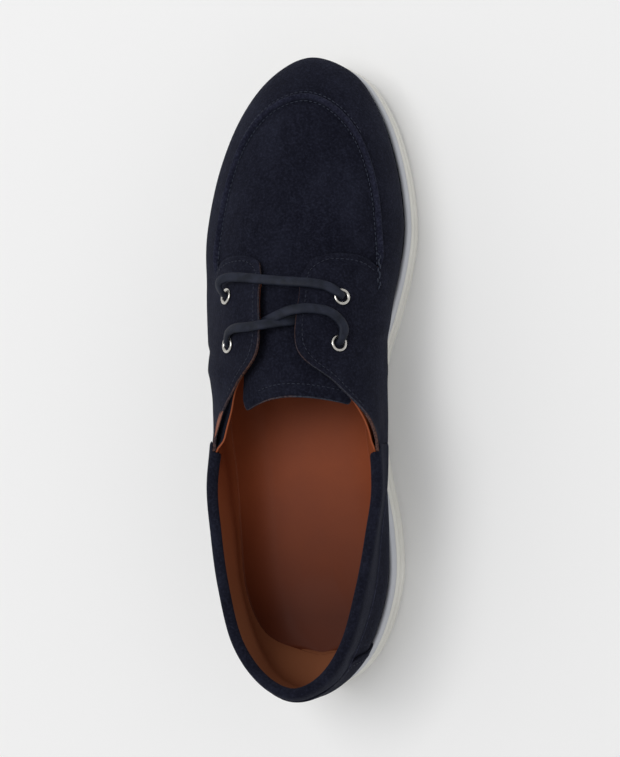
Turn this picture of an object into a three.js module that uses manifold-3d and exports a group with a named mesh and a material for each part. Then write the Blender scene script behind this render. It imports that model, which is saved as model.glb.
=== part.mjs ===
// A left boat shoe: a suede upper with an apron, two pairs of eyelets and a padded heel collar, on a
// rubber cup sole, with a leather insole, a tongue and a lace.
// Millimetres. +Y runs from the heel to the toe, +X to the medial (inner) side and +Z up from the floor.
import * as THREE from "three";
import { mergeVertices } from "three/addons/utils/BufferGeometryUtils.js";
import Module from "manifold-3d";

const wasm = await Module();
wasm.setup();

// ---------------------------------------------------------------- driving dimensions
const GAP = 0.3; // between pieces that touch
const UPPER_WALL = 2.3; // suede and its leather lining
const LIP_WIDTH = 2.4; // top face of the sole's side wall
const LIP_DEPTH = 4.5; // how deep the upper sits in the cup of the sole
const INSOLE = { thick: 3.2, inset: 1.2, bevel: 0.8 };
const COLLAR = { outerProud: 1.3, innerProud: 3.9, start: 5.54, ease: 0.18 }; // proud of the quarter's face
const HEEL_PATCH = { thick: 1.3, topHalf: 1.3, footHalf: 1.85 }; // half widths in spokes
const TONGUE_THICK = 2.2;
const TREAD_GROOVE = { wide: 2.4, deep: 1.6, margin: 9 };
const LACE = { wide: 4.6, thick: 2.6, slope: 0.34 }; // slope: of the instep that it lies on
const EYELET = { hole: 2.2, barrel: 2.7, flange: 3.7, flangeThick: 0.4, proud: 0.9, depth: 1.8 };

// A table with named columns, a row for each section of the shoe.
const table = (names, rows) =>
  rows.map((row) => Object.fromEntries(names.map((name, i) => [name, row[i]])));

// The sole's edge, from the heel's back to the toe's tip, and how far the wall's widest line is outside it.
const SOLE_EDGE = table(["y", "lateral", "medial", "outLateral", "outMedial"], [
  [-143, 2, 2, -0.8, -0.8],
  [-136, -13.5, 17, -0.8, -0.8],
  [-120, -25.5, 28.5, -0.3, -0.3],
  [-95, -33.5, 35.7, 0, 0.2],
  [-70, -35.2, 35.4, 1, 1.8],
  [-45, -35.8, 31, 2.6, 5.4],
  [-18, -38, 27.5, 4, 9],
  [8, -42, 30, 3, 7],
  [30, -45.5, 36.8, 1.6, 2.4],
  [50, -47.3, 41.8, 1, 0.4],
  [70, -46.3, 44, 1, -0.4],
  [96, -40.4, 41, 0.8, -0.8],
  [120, -30, 33.9, 0.2, -1],
  [137.5, -15.2, 22.5, -0.4, -1.2],
  [145.6, 3, 3, -1.2, -1.2],
]);

// The middle line: the apron seam in front, and the foot of the padded collar behind.
const MIDDLE_LINE = table(["y", "lateral", "medial", "z"], [
  [-141, 2, 2, 57.5],
  [-134.3, -12.8, 16.2, 57.3],
  [-118, -23.3, 25.6, 56.7],
  [-94, -31.2, 32.8, 54.5],
  [-70, -34.8, 35.4, 52],
  [-47, -38.5, 37.7, 50],
  [-22, -40.5, 38.2, 50],
  [4, -41.8, 37.7, 53],
  [26, -41, 37.7, 53.5],
  [45, -39, 37.8, 52.4],
  [62, -37.8, 37.2, 51],
  [86, -33.1, 34.6, 50.5],
  [106.6, -24.9, 27.8, 51],
  [120.3, -12.6, 16.6, 51.8],
  [125.6, 3, 3, 52.2],
]);

// The top edge: round the collar, down the quarters, up the eyelet tabs and across the throat.
// crown is how far the upper bulges above a straight line from the middle line to this one.
const TOP_LINE = table(["y", "lateral", "medial", "z", "crown"], [
  [-138.3, 2.2, 2.2, 79, 0.6],
  [-131.8, -12.4, 16.6, 78.7, 0.6],
  [-115.7, -24.8, 27.9, 77.3, 0.6],
  [-91, -31.8, 34.4, 74.8, 0.6],
  [-68, -36, 38.6, 71.8, 0.6],
  [-46, -38, 41.1, 69.2, 0.8],
  [-20, -32.2, 37.8, 69.8, 1.5],
  [-2, -22, 24, 77, 2.5],
  [13, -10.5, 8.3, 83.8, 3.2],
  [38, -11.5, 7.2, 75.8, 3.2],
  [50.5, -10, 6.8, 69.7, 2.6],
  [52.5, -6, 3.6, 68.8, 2.2],
  [53, -3.5, 1, 68.6, 1.6],
  [53.2, -2.2, -0.4, 68.6, 1.2],
  [53.2, -1.2, -1.2, 68.6, 1],
]);

const TOE = SOLE_EDGE.length - 1; // a spoke's number: 0 at the heel's back, TOE at the toe's tip
const SPOKES = 2 * TOE; // the medial side's spokes come first, then the lateral side's, back to the heel
// the lines that the upper is lofted through
const LEVELS = { bite: 0, lip: 1, wide: 2, mid: 3, crown: 4, top: 5 };
const WIDE_SHARE = 0.5; // height of the widest line, from the sole's lip to the middle line
const COLLAR_FOOT = LEVELS.mid; // the collar sits on the middle line

// Heights of the sole along its length.
const SOLE_HEIGHTS = table(["y", "bottom", "lip"], [
  [-143, 0.8, 27],
  [-128, 0, 26.8],
  [-60, 0, 25],
  [-15, 2, 23],
  [22, 0, 21.2],
  [88, 0, 20.8],
  [118, 2.6, 22.2],
  [146, 8.5, 25.5],
]);

// An arched sheet under the eyelet tabs: its ridge's height, half width, how far its edges drop, and shift
// to the medial side.
const TONGUE_SECTIONS = table(["y", "z", "half", "drop", "shift"], [
  [-14, 77.8, 26, 8.6, 4.6],
  [0, 79.8, 23.8, 10.5, 3.2],
  [12, 78, 22.5, 10.5, 1],
  [25, 74, 22, 9.5, 0],
  [40, 69, 20, 7, -1],
  [49, 65, 17, 4.5, -1.5],
]);
const TONGUE_END = { curve: 5.5, corner: 0.86 }; // how hollow the free end is, and where its corners turn

const TREAD_GROOVES = [-122, -105, -88, 18, 35, 52, 69, 86]; // places along the sole

const EYELETS = [
  { name: "eyelet_front_medial", x: 24.1, y: 35.3 },
  { name: "eyelet_rear_medial", x: 23.8, y: 15.1 },
  { name: "eyelet_front_lateral", x: -28.7, y: 36.6 },
  { name: "eyelet_rear_lateral", x: -26.5, y: 15.1 },
];

// The lace's routes outside the tabs, along the middle of the cord. The front bar lies over both tabs. Each
// strand of the crossing starts at its own eyelet and ends under the other tab.
const LACE_BAR = [
  [19.3, 39.8, 72.6],
  [13, 41.4, 74.9],
  [7.5, 41.9, 76.3],
  [0, 42.5, 76.7],
  [-8, 43.3, 76],
  [-13, 43.9, 74.9],
  [-21, 44.8, 72.6],
  [-28, 45, 70.6],
  [-32, 43.5, 70.3],
];
const LACE_MEDIAL = [
  [26.4, 20.8, 73.4],
  [25.4, 24, 73.5],
  [22.8, 27.2, 74.9],
  [19, 29.4, 76.8],
  [12.9, 30.4, 79.4],
  [8.3, 30.2, 81.3],
  [3.5, 29.3, 81.9],
  [-1, 27.7, 80.9],
  [-5.5, 25.9, 79.5],
  [-9.5, 24.4, 76.7],
  [-13.5, 23.2, 73.9],
];
const LACE_LATERAL = [
  [-27, 20.2, 75.6],
  [-25, 21.4, 76.3],
  [-21.8, 22.3, 78.2],
  [-18, 22.6, 80.5],
  [-14.2, 22.8, 81.9],
  [-10.5, 23.2, 83.3],
  [-7.2, 23.7, 82.6],
  [-3, 24.3, 81],
  [1, 24.9, 79.2],
  [5, 25.3, 77],
  [8.5, 25.6, 74.7],
  [11.5, 25.9, 73.3],
];

// ---------------------------------------------------------------- interpolation
// Catmull-Rom between b and c, at share f of the way.
function between(a, b, c, d, f) {
  return b + 0.5 * f * (c - a + f * (2 * a - 5 * b + 4 * c - d + f * (3 * (b - c) + d - a)));
}

// The value of a table's column at y, eased between rows.
function columnAt(rows, column, y) {
  const last = rows.length - 1;
  let i = 0;
  while (i < last - 1 && y > rows[i + 1].y) i++;
  const f = THREE.MathUtils.clamp((y - rows[i].y) / (rows[i + 1].y - rows[i].y), 0, 1);
  const row = (k) => rows[THREE.MathUtils.clamp(k, 0, last)][column];
  return between(row(i - 1), row(i), row(i + 1), row(i + 2), f);
}
const lipZ = (y) => columnAt(SOLE_HEIGHTS, "lip", y);
const bottomZ = (y) => Math.max(0, columnAt(SOLE_HEIGHTS, "bottom", y));
const floorZ = (y) => lipZ(y) - LIP_DEPTH;

// A column of one of the three lines round the shoe at u, in spokes. Columns come in pairs for the two
// sides, or serve both.
function roundShoe(line, [medial, lateral], u) {
  const i = Math.floor(u);
  const value = (k) => {
    const spoke = ((k % SPOKES) + SPOKES) % SPOKES;
    return spoke <= TOE ? line[spoke][medial] : line[SPOKES - spoke][lateral];
  };
  return between(value(i - 1), value(i), value(i + 1), value(i + 2), u - i);
}
const X = ["medial", "lateral"];
const OUT = ["outMedial", "outLateral"];
const both = (column) => [column, column];

const pointOn = (line, u) =>
  new THREE.Vector3(roundShoe(line, X, u), roundShoe(line, both("y"), u), roundShoe(line, both("z"), u));

// The sole's edge in plan, moved outwards by `out`.
function soleEdge(u, out = 0) {
  const at = (v) => new THREE.Vector2(roundShoe(SOLE_EDGE, X, v), roundShoe(SOLE_EDGE, both("y"), v));
  const along = at(u + 0.02).sub(at(u - 0.02)).normalize();
  return at(u).add(new THREE.Vector2(along.y, -along.x).multiplyScalar(out));
}

// ---------------------------------------------------------------- the upper's outer face
// A point of one of the lines that the upper is lofted through.
function levelPoint(level, u) {
  if (level === LEVELS.bite || level === LEVELS.lip) {
    const p = soleEdge(u, -(LIP_WIDTH + GAP));
    return new THREE.Vector3(p.x, p.y, (level === LEVELS.bite ? floorZ(p.y) : lipZ(p.y)) + GAP);
  }
  const middle = pointOn(MIDDLE_LINE, u);
  if (level === LEVELS.wide) {
    const p = soleEdge(u, roundShoe(SOLE_EDGE, OUT, u));
    return new THREE.Vector3(p.x, p.y, THREE.MathUtils.lerp(lipZ(p.y), middle.z, WIDE_SHARE));
  }
  if (level === LEVELS.mid) return middle;
  const top = pointOn(TOP_LINE, u);
  if (level === LEVELS.top) return top;
  const across = top.clone().sub(middle);
  const side = new THREE.Vector3(across.y, -across.x, 0).normalize();
  const crown = roundShoe(TOP_LINE, both("crown"), u);
  const bulge = across.clone().normalize().cross(side).multiplyScalar(-crown);
  return middle.add(top).multiplyScalar(0.5).add(bulge);
}

// A point of the outer face: u in spokes, v in levels.
function face(u, v) {
  const i = Math.min(Math.floor(v), LEVELS.top - 1);
  const point = (k) => levelPoint(THREE.MathUtils.clamp(k, 0, LEVELS.top), u);
  const [a, b, c, d] = [point(i - 1), point(i), point(i + 1), point(i + 2)];
  if (i === 0) a.copy(b).multiplyScalar(2).sub(c);
  if (i === LEVELS.top - 1) d.copy(c).multiplyScalar(2).sub(b);
  return new THREE.Vector3(
    between(a.x, b.x, c.x, d.x, v - i),
    between(a.y, b.y, c.y, d.y, v - i),
    between(a.z, b.z, c.z, d.z, v - i),
  );
}

// The outer face's normal, and a point moved along it.
function faceNormal(u, v) {
  const du = face(u + 0.02, v).sub(face(u - 0.02, v));
  const dv = face(u, Math.min(v + 0.02, LEVELS.top)).sub(face(u, Math.max(v - 0.02, 0)));
  return du.cross(dv).normalize();
}
function facePoint(u, v, out) {
  return face(u, v).addScaledVector(faceNormal(u, v), out);
}

// Where the outer face is over a place in plan: Newton's steps from a nearby spoke and level.
function faceOver(x, y) {
  const step = 0.01;
  let u = x > 0 ? 8.5 : SPOKES - 8.5;
  let v = 4.3;
  for (let turn = 0; turn < 20; turn++) {
    const here = face(u, v);
    const du = face(u + step, v).sub(here).divideScalar(step);
    const dv = face(u, v + step).sub(here).divideScalar(step);
    const det = du.x * dv.y - du.y * dv.x;
    u += ((x - here.x) * dv.y - (y - here.y) * dv.x) / det;
    v += (du.x * (y - here.y) - du.y * (x - here.x)) / det;
  }
  return { u, v };
}

// ---------------------------------------------------------------- meshes from grids
function geometryOf(points, triangles) {
  const geometry = new THREE.BufferGeometry();
  geometry.setAttribute("position", new THREE.Float32BufferAttribute(points.flatMap((p) => p.toArray()), 3));
  geometry.setIndex(triangles.flat());
  return geometry;
}

// A sheet with thickness: outer and inner are equal grids of points, rows of columns, seen from outside
// with columns running right and rows running up. wrap joins the last column to the first, and keep says
// which cells of the grid are there.
function sheet(outer, inner, { wrap = false, keep = () => true } = {}) {
  const rows = outer.length;
  const columns = outer[0].length;
  const spans = wrap ? columns : columns - 1;
  const at = (r, c, inside) => (inside ? rows * columns : 0) + r * columns + (c % columns);
  const kept = (r, c) => {
    const column = wrap ? (c + columns) % columns : c;
    return r >= 0 && r < rows - 1 && column >= 0 && column < spans && keep(r, column);
  };
  const triangles = [];
  const quad = (a, b, c, d) => triangles.push([a, b, c], [a, c, d]);
  const rim = ([r0, c0], [r1, c1]) => quad(at(r0, c0), at(r1, c1), at(r1, c1, true), at(r0, c0, true));
  for (let r = 0; r < rows - 1; r++) {
    for (let c = 0; c < spans; c++) {
      if (!kept(r, c)) continue;
      quad(at(r, c), at(r, c + 1), at(r + 1, c + 1), at(r + 1, c));
      quad(at(r, c + 1, true), at(r, c, true), at(r + 1, c, true), at(r + 1, c + 1, true));
      if (!kept(r - 1, c)) rim([r, c + 1], [r, c]);
      if (!kept(r + 1, c)) rim([r + 1, c], [r + 1, c + 1]);
      if (!kept(r, c - 1)) rim([r, c], [r + 1, c]);
      if (!kept(r, c + 1)) rim([r + 1, c + 1], [r, c + 1]);
    }
  }
  return geometryOf([...outer.flat(), ...inner.flat()], triangles);
}

// A body lofted through closed rings. Its two ends are closed by rungs from side to side.
function ringBody(rings) {
  const n = rings[0].length;
  const triangles = [];
  rings.slice(1).forEach((_, r) => {
    for (let i = 0; i < n; i++) {
      const [a, b] = [r * n + i, r * n + ((i + 1) % n)];
      triangles.push([a, b, b + n], [a, b + n, a + n]);
    }
  });
  const cap = (base, flip) => {
    for (let i = 0; i < n / 2; i++) {
      const [a, b, c, d] = [base + i, base + i + 1, base + ((n - i - 1) % n), base + ((n - i) % n)];
      const faces = [];
      if (b !== c) faces.push([a, b, c]);
      if (a !== d) faces.push([a, c, d]);
      faces.forEach((f) => triangles.push(flip ? f.reverse() : f));
    }
  };
  cap(0, true);
  cap((rings.length - 1) * n, false);
  return geometryOf(rings.flat(), triangles);
}

const steps = (from, to, count) =>
  Array.from({ length: count + 1 }, (_, i) => from + ((to - from) * i) / count);

// The places round the shoe that sole, insole and upper share, so that their walls stay parallel.
function columnsRound() {
  const half = [
    ...steps(0, COLLAR.start, 18),
    ...steps(COLLAR.start, 9, 9).slice(1),
    ...steps(9, TOE, 16).slice(1),
  ];
  return [...half, ...half.slice(1, -1).reverse().map((u) => SPOKES - u)];
}
const ROUND = columnsRound();

// ---------------------------------------------------------------- joining and cutting
function solidOf(geometry) {
  const bare = geometry.clone();
  bare.deleteAttribute("normal");
  bare.deleteAttribute("uv");
  const merged = mergeVertices(bare, 1e-4);
  return new wasm.Manifold(
    new wasm.Mesh({
      numProp: 3,
      vertProperties: merged.attributes.position.array,
      triVerts: new Uint32Array(merged.index.array),
    }),
  );
}

function geometryFrom(solid) {
  const { numProp, vertProperties, triVerts } = solid.getMesh();
  const positions = [];
  for (let i = 0; i < vertProperties.length; i += numProp) positions.push(...vertProperties.slice(i, i + 3));
  const geometry = new THREE.BufferGeometry();
  geometry.setAttribute("position", new THREE.Float32BufferAttribute(positions, 3));
  return geometry.setIndex(Array.from(triVerts));
}

// ---------------------------------------------------------------- materials
const MATERIALS = {
  suede: new THREE.MeshStandardMaterial({ color: 0x14182a, roughness: 0.95 }),
  rubber: new THREE.MeshStandardMaterial({ color: 0xdedbd2, roughness: 0.55 }),
  leather: new THREE.MeshStandardMaterial({ color: 0x8a4526, roughness: 0.5 }),
  lace: new THREE.MeshStandardMaterial({ color: 0x1c2333, roughness: 0.6 }),
  nickel: new THREE.MeshStandardMaterial({ color: 0xc9c5bb, roughness: 0.25, metalness: 1 }),
};

const shoe = new THREE.Group();
function piece(name, geometry, material) {
  const mesh = new THREE.Mesh(geometry, MATERIALS[material]);
  mesh.name = name;
  shoe.add(mesh);
}

// ---------------------------------------------------------------- sole
// One moulded cup: a rim that the upper sits in, a side wall with two fine grooves, and a flat tread at
// heel and ball, with a raised waist, toe spring and grooves across it.
function makeSole() {
  // share: height up the side wall; out: from the sole's edge; lift: up from there
  const groove = (share, out) => [
    { share, out, lift: -0.5 },
    { share, out: out - 0.7 },
    { share, out, lift: 0.5 },
  ];
  const wall = [
    { share: 0, out: -3 },
    { share: 0.06, out: -0.8 },
    { share: 0.16, out: 0 },
    ...groove(0.42, -0.3),
    ...groove(0.7, -0.6),
    { share: 0.94, out: -0.7 },
    { share: 1, out: -1.2 },
    { share: 1, out: -LIP_WIDTH },
  ];
  const rings = wall.map(({ share, out, lift = 0 }) =>
    ROUND.map((u) => {
      const p = soleEdge(u, out);
      return new THREE.Vector3(p.x, p.y, THREE.MathUtils.lerp(bottomZ(p.y), lipZ(p.y), share) + lift);
    }),
  );
  rings.push(rings.at(-1).map((p) => new THREE.Vector3(p.x, p.y, floorZ(p.y))));
  let solid = solidOf(ringBody(rings));
  TREAD_GROOVES.forEach((y) => {
    const [left, right] = ["lateral", "medial"].map((side) => columnAt(SOLE_EDGE, side, y));
    const { wide, deep, margin } = TREAD_GROOVE;
    const cut = new THREE.BoxGeometry(right - left - 2 * margin, wide, 2 * deep);
    solid = solid.subtract(solidOf(cut.translate((left + right) / 2, y, 0)));
  });
  piece("sole", geometryFrom(solid), "rubber");
}

// ---------------------------------------------------------------- insole
function makeInsole() {
  const inside = LIP_WIDTH + GAP + UPPER_WALL + INSOLE.inset;
  const places = ROUND.filter((_, i) => i % 2 === 0);
  const ring = (inset, height) =>
    places.map((u) => {
      const p = soleEdge(u, -inside - inset);
      return new THREE.Vector3(p.x, p.y, floorZ(p.y) + GAP + height);
    });
  const { thick, bevel } = INSOLE;
  piece("insole", ringBody([ring(0, 0), ring(0, thick - bevel), ring(bevel, thick)]), "leather");
}

// ---------------------------------------------------------------- upper
// One shell from the sole's cup to the top edge. Round the heel it ends under the collar.
function makeUpper() {
  const rows = [
    ...steps(LEVELS.bite, LEVELS.lip, 2),
    ...steps(LEVELS.lip, LEVELS.mid, 6).slice(1),
    ...steps(LEVELS.mid, LEVELS.top, 5).slice(1),
  ];
  const keep = (row, column) => {
    const middle = (ROUND[column] + (ROUND[column + 1] ?? SPOKES)) / 2;
    return rows[row] < COLLAR_FOOT || Math.min(middle, SPOKES - middle) > COLLAR.start;
  };
  const grid = (out) => rows.map((v) => ROUND.map((u) => facePoint(u, v, out)));
  let solid = solidOf(sheet(grid(0), grid(-UPPER_WALL), { wrap: true, keep }));
  EYELETS.forEach((eyelet) => {
    const drill = new THREE.CylinderGeometry(EYELET.barrel + GAP, EYELET.barrel + GAP, 12, 16);
    solid = solid.subtract(solidOf(placeOnFace(drill, eyelet)));
  });
  piece("upper", geometryFrom(solid), "suede");
}

// Turns a shape's Y axis to the upper's normal over a place, and moves it there.
function placeOnFace(geometry, { x, y }) {
  const { u, v } = faceOver(x, y);
  const turn = new THREE.Quaternion().setFromUnitVectors(new THREE.Vector3(0, 1, 0), faceNormal(u, v));
  const at = face(u, v);
  return geometry.applyQuaternion(turn).translate(at.x, at.y, at.z);
}

// ---------------------------------------------------------------- heel collar and heel patch
// The collar is a padded roll from notch to notch, on top of the quarter, with its ends rounded off.
function makeCollar() {
  const clear = 0.02; // spokes, and levels, from the quarter's edges
  const end = COLLAR.start - clear;
  const roundedEnd = [0, 0.05, 0.16];
  const around = [
    ...roundedEnd.map((u) => u - end),
    ...steps(-end + 0.35, end - 0.35, 34),
    ...roundedEnd.map((u) => end - u).reverse(),
  ];
  const profile = [
    { v: COLLAR_FOOT + 1.5 * clear, half: 0.75 },
    { v: COLLAR_FOOT + 0.3, half: 0.95 },
    { v: COLLAR_FOOT + 0.9, half: 1 },
    { v: COLLAR_FOOT + 1.6, half: 1 },
    { v: COLLAR_FOOT + 1.88, half: 0.85 },
    { v: LEVELS.top, half: 0.45 },
  ];
  const { outerProud, innerProud, ease } = COLLAR;
  const fullness = (u) => {
    const left = Math.min(1, (end - Math.abs(u)) / ease);
    return 0.6 + 0.4 * Math.sqrt(1 - (1 - left) ** 2);
  };
  const grid = (side) =>
    profile.map(({ v, half }) =>
      around.map((u) => {
        const middle = (outerProud - innerProud) / 2;
        const out = middle + (side * half * fullness(u) * (outerProud + innerProud)) / 2;
        return facePoint((u + SPOKES) % SPOKES, v, out);
      }),
    );
  piece("heel_collar", sheet(grid(1), grid(-1)), "suede");
}

// A patch of suede sewn over the back of the heel, under the collar, wider towards the sole.
function makeHeelPatch() {
  const { thick, topHalf, footHalf } = HEEL_PATCH;
  const rows = steps(0, 1, 6);
  const grid = (out) =>
    rows.map((share) => {
      const v = THREE.MathUtils.lerp(LEVELS.lip + 0.12, COLLAR_FOOT - 0.04, share);
      const half = THREE.MathUtils.lerp(footHalf, topHalf, share ** 2);
      return steps(-half, half, 16).map((u) => facePoint((u + SPOKES) % SPOKES, v, out));
    });
  piece("heel_patch", sheet(grid(GAP + thick), grid(GAP)), "suede");
}

// ---------------------------------------------------------------- tongue
function makeTongue() {
  const back = TONGUE_SECTIONS[0].y;
  const front = TONGUE_SECTIONS.at(-1).y;
  const { curve, corner } = TONGUE_END;
  // the free end is hollow in the middle and turns forward again at its corners
  const endAt = (across) => {
    const turned = Math.max(0, (Math.abs(across) - corner) / (1 - corner));
    return back + curve * (1 - (across / corner) ** 2) * (turned > 0 ? 0 : 1) + 5 * turned ** 2;
  };
  const grid = (lift) =>
    steps(-1, 1, 16).map((across) =>
      steps(front, endAt(across), 9).map((y) => {
        const [z, half, drop, shift] = ["z", "half", "drop", "shift"].map((column) =>
          columnAt(TONGUE_SECTIONS, column, y),
        );
        return new THREE.Vector3(shift + across * half, y, z - drop * across ** 2 + lift);
      }),
    );
  piece("tongue", sheet(grid(0), grid(-TONGUE_THICK)), "suede");
}

// ---------------------------------------------------------------- eyelets
function makeEyelets() {
  const { hole, barrel, flange, flangeThick, proud, depth } = EYELET;
  const middle = (hole + flange) / 2;
  const profile = [
    [hole, -depth],
    [barrel, -depth],
    [barrel, GAP],
    [flange, GAP],
    [flange, GAP + flangeThick],
    [middle, GAP + proud],
    [hole, GAP + flangeThick],
    [hole, -depth],
  ].map(([r, y]) => new THREE.Vector2(r, y));
  EYELETS.forEach((eyelet) => {
    piece(eyelet.name, placeOnFace(new THREE.LatheGeometry(profile, 16), eyelet), "nickel");
  });
}

// ---------------------------------------------------------------- lace
// A flat cord swept along a route.
function cord(route) {
  const { wide, thick, slope } = LACE;
  const up = new THREE.Vector3(0, slope, 1);
  const curve = new THREE.CatmullRomCurve3(route.map(([x, y, z]) => new THREE.Vector3(x, y, z)));
  const count = 2 * (route.length - 1);
  const rings = steps(0, 1, count).map((t) => {
    const centre = curve.getPoint(t);
    const along = curve.getTangent(t);
    const side = along.clone().cross(up).normalize();
    const rise = along.cross(side);
    return steps(0, 2 * Math.PI, 8).slice(0, -1).map((angle) =>
      centre.clone()
        .addScaledVector(side, (Math.cos(angle) * wide) / 2)
        .addScaledVector(rise, (Math.sin(angle) * thick) / 2));
  });
  return ringBody(rings);
}

function makeLace() {
  piece("lace_front_bar", cord(LACE_BAR), "lace");
  const crossing = solidOf(cord(LACE_MEDIAL)).add(solidOf(cord(LACE_LATERAL)));
  piece("lace_crossing", geometryFrom(crossing), "lace");
}

makeSole();
makeInsole();
makeUpper();
makeCollar();
makeHeelPatch();
makeTongue();
makeEyelets();
makeLace();

// The origin is the middle of the shoe's box, on the floor.
const middle = new THREE.Box3().setFromObject(shoe).getCenter(new THREE.Vector3());
shoe.position.set(-middle.x, -middle.y, 0);

export default shoe;
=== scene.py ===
import math

import bmesh
import bpy
import numpy as np
from mathutils import Matrix, Vector, kdtree


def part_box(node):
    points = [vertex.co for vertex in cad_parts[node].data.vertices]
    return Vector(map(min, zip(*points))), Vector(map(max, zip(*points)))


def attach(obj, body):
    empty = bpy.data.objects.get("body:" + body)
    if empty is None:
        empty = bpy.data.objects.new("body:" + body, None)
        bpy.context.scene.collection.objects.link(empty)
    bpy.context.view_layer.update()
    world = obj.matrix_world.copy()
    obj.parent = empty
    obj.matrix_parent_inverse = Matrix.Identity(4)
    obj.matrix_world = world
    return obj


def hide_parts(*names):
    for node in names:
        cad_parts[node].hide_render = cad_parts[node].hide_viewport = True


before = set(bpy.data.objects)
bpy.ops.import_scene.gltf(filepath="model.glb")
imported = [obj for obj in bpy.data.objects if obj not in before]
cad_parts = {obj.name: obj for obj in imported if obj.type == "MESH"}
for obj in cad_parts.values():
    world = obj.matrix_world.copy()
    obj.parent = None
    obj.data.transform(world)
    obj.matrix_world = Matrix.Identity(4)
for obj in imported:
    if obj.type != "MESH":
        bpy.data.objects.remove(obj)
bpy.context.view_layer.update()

# ------------------------------------------------------------------ camera
# It stands a metre above the shoe, leaning to the medial side, with the toe upwards in the view.
CAMERA = {"lens": 101.3, "away": 1.0, "tilt": 15.52, "roll": 0.6, "aim": (-0.0067, -0.0009, 0.0024)}

camera = bpy.data.objects.new("camera", bpy.data.cameras.new("camera"))
bpy.context.scene.collection.objects.link(camera)
bpy.context.scene.camera = camera
camera.data.lens = CAMERA["lens"]
tilt, roll = math.radians(CAMERA["tilt"]), math.radians(CAMERA["roll"])
backward = Vector((math.sin(tilt), 0, math.cos(tilt)))
level_right = Vector((0, 1, 0)).cross(backward)
right = level_right * math.cos(roll) - Vector((0, 1, 0)) * math.sin(roll)
upward = backward.cross(right)
camera.matrix_world = Matrix((right, upward, backward)).transposed().to_4x4()
camera.location = Vector(CAMERA["aim"]) + backward * CAMERA["away"]

# ------------------------------------------------------------------ floor and light
# A plain pale studio floor, a white surround, and one large soft light from the lateral side of the toe.
SCENE = bpy.context.scene
SCENE.view_settings.view_transform = "Standard"
FLOOR = {"half": 3.0, "colour": (0.87, 0.87, 0.87), "roughness": 0.9}
SURROUND = 0.6
KEY = {"at": (-0.55, 0.5, 2.8), "size": 1.4, "watts": 37.5}


def shader_input(made, socket):
    return made.node_tree.nodes["Principled BSDF"].inputs[socket]


def new_material(name, colour, roughness, **constants):
    """A material whose constants stand on the shader's own sockets."""
    made = bpy.data.materials.new(name)
    made.use_nodes = True
    shader_input(made, "Base Color").default_value = (*colour, 1)
    shader_input(made, "Roughness").default_value = roughness
    for socket, value in constants.items():
        shader_input(made, socket.replace("_", " ")).default_value = value
    return made


world = bpy.data.worlds.new("surround")
world.use_nodes = True
world.node_tree.nodes["Background"].inputs["Color"].default_value = (1, 1, 1, 1)
world.node_tree.nodes["Background"].inputs["Strength"].default_value = SURROUND
SCENE.world = world

floor_mesh = bpy.data.meshes.new("floor")
half = FLOOR["half"]
floor_corners = [(-half, -half, 0), (half, -half, 0), (half, half, 0), (-half, half, 0)]
floor_mesh.from_pydata(floor_corners, [], [(0, 1, 2, 3)])
floor_mesh.materials.append(new_material("studio_floor", FLOOR["colour"], FLOOR["roughness"]))
floor = bpy.data.objects.new("floor", floor_mesh)
SCENE.collection.objects.link(floor)

key = bpy.data.objects.new("key", bpy.data.lights.new("key", "AREA"))
SCENE.collection.objects.link(key)
key.data.size = KEY["size"]
key.data.energy = KEY["watts"]
key.location = KEY["at"]
key.rotation_euler = Vector(KEY["at"]).to_track_quat("Z", "Y").to_euler()

# ------------------------------------------------------------------ sole
# One moulded cup of off-white rubber, with a paler blue-grey top lip, two fine grooves round its side wall
# and plain grooves under heel and ball. The upper is cemented into it.
MM = 0.001
JOIN_WITHIN = 0.01
GAP = 0.3  # between the sole and what is cemented into it
LIP_WIDTH = 2.4
LIP_DEPTH = 4.5
LIP_ROWS = 7  # the last rows of the side wall are the lip's
SOLE_STATIONS = 400
TREAD = {"places": (-122, -105, -88, 18, 35, 52, 69, 86), "wide": 2.4, "deep": 1.6, "margin": 9, "edge": 0.8}


def table(names, rows):
    """A table with named columns, a row for each section."""
    return dict(zip(names.split(), np.array(rows, float).T))


# the sole's edge from the heel's back to the toe's tip, and how far the upper's widest line is outside it
SOLE_EDGE = table("y lateral medial out_lateral out_medial", [
    (-143, 2, 2, -0.8, -0.8),
    (-136, -13.5, 17, -0.8, -0.8),
    (-120, -25.5, 28.5, -0.3, -0.3),
    (-95, -33.5, 35.7, 0, 0.2),
    (-70, -35.2, 35.4, 1, 1.8),
    (-45, -35.8, 31, 2.6, 5.4),
    (-18, -38, 27.5, 4, 9),
    (8, -42, 30, 3, 7),
    (30, -45.5, 36.8, 1.6, 2.4),
    (50, -47.3, 41.8, 1, 0.4),
    (70, -46.3, 44, 1, -0.4),
    (96, -40.4, 41, 0.8, -0.8),
    (120, -30, 33.9, 0.2, -1),
    (137.5, -15.2, 22.5, -0.4, -1.2),
    (145.6, 3, 3, -1.2, -1.2),
])
SOLE_HEIGHTS = table("y bottom lip", [
    (-143, 0.8, 27),
    (-128, 0, 26.8),
    (-60, 0, 25),
    (-15, 2, 23),
    (22, 0, 21.2),
    (88, 0, 20.8),
    (118, 2.6, 22.2),
    (146, 8.5, 25.5),
])
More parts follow.
